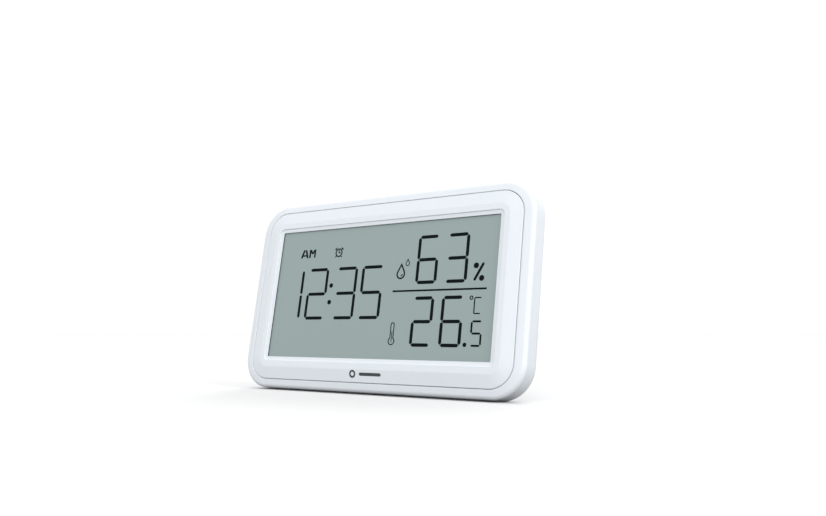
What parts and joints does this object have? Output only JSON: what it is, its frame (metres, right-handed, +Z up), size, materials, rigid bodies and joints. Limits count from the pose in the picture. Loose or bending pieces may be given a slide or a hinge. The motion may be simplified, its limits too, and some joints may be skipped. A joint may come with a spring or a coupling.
{
  "type": "desk clock with thermometer and hygrometer",
  "caption": "Small white desk clock with a large display for time, humidity and temperature, buttons and a battery housing on the back, and a fold-out stand.",
  "frame": {"origin": "centre of the bounding box at the height of the surface that the clock stands on, with its stand open", "axes": "+Z up, -Y towards the viewer of the display, +X to the viewer's right; the case leans back 9.85 degrees towards +Y"},
  "size_m": [0.11, 0.0278, 0.0647],
  "materials": {
    "white_abs": "cool white moulded ABS, satin",
    "button_abs": "cool white moulded ABS, fine matte",
    "display_film": "anti-glare polariser, grey-green",
    "gasket_foam": "black closed-cell foam",
    "display_glass": "clear float glass",
    "reflector_film": "matte silver film",
    "dark_segments": "near-black greenish, flat",
    "conductive_rubber": "striped silicone rubber",
    "circuit_board": "green solder mask on paper laminate",
    "black_epoxy": "glossy poured epoxy",
    "tin_plate": "tin-plated steel",
    "tantalum_resin": "moulded yellow resin",
    "sensor_case": "white moulded case",
    "sensor_resin": "dipped brown resin",
    "black_plastic": "black moulded nylon",
    "cell_wrap": "printed film wrap, green with a copper-coloured end",
    "nickel_plate": "nickel-plated spring steel",
    "brass_sheet": "rolled brass sheet",
    "piezo_ceramic": "silvered ceramic disc",
    "screw_steel": "zinc-plated steel"
  },
  "bodies": {
    "case": {"front_bezel": "white_abs", "rear_casing": "white_abs", "display_gasket": "gasket_foam", "front_polariser": "display_film", "lcd_front_glass": "display_glass", "lcd_rear_glass": "display_glass", "reflector": "reflector_film", "display_segments": "dark_segments", "contact_strip": "conductive_rubber", "main_board": "circuit_board", "controller_blob": "black_epoxy", "crystal_can": "tin_plate", "buffer_capacitor": "tantalum_resin", "humidity_sensor": "sensor_case", "thermistor": "sensor_resin", "switch_cases": "tin_plate", "upper_cell": "cell_wrap", "lower_cell": "cell_wrap", "positive_contact": "nickel_plate", "negative_contact": "nickel_plate", "link_contact": "nickel_plate", "negative_spring": "nickel_plate", "link_spring": "nickel_plate", "piezo_plate": "brass_sheet", "piezo_ceramic": "piezo_ceramic", "buzzer_springs": "nickel_plate", "casing_screws": "screw_steel", "board_screws": "screw_steel"},
    "battery_door": {"battery_door": "white_abs"},
    "kickstand": {"kickstand": "white_abs"},
    "mode_button": {"mode_button": "button_abs", "mode_stem": "black_plastic"},
    "up_button": {"up_button": "button_abs", "up_stem": "black_plastic"},
    "down_button": {"down_button": "button_abs", "down_stem": "black_plastic"},
    "unit_button": {"unit_button": "button_abs", "unit_stem": "black_plastic"}
  },
  "joints": [
    {"name": "kickstand_hinge", "type": "hinge", "parent": "case", "child": "kickstand", "pos_m": [0, 0.00331, 0.03238], "axis": [1, 0, 0], "range_deg": [-23.85, 0]},
    {"name": "battery_door_slide", "type": "slide", "parent": "case", "child": "battery_door", "axis": [0, 0.1711, 0.9853], "range_m": [0, 0.022]},
    {"name": "mode_press", "type": "slide", "parent": "case", "child": "mode_button", "axis": [0, -0.9853, 0.1711], "range_m": [0, 0.0003], "stiffness_N_per_m": 5000},
    {"name": "up_press", "type": "slide", "parent": "case", "child": "up_button", "axis": [0, -0.9853, 0.1711], "range_m": [0, 0.0003], "stiffness_N_per_m": 5000},
    {"name": "down_press", "type": "slide", "parent": "case", "child": "down_button", "axis": [0, -0.9853, 0.1711], "range_m": [0, 0.0003], "stiffness_N_per_m": 5000},
    {"name": "unit_press", "type": "slide", "parent": "case", "child": "unit_button", "axis": [0, -0.9853, 0.1711], "range_m": [0, 0.0003], "stiffness_N_per_m": 5000}
  ]
}
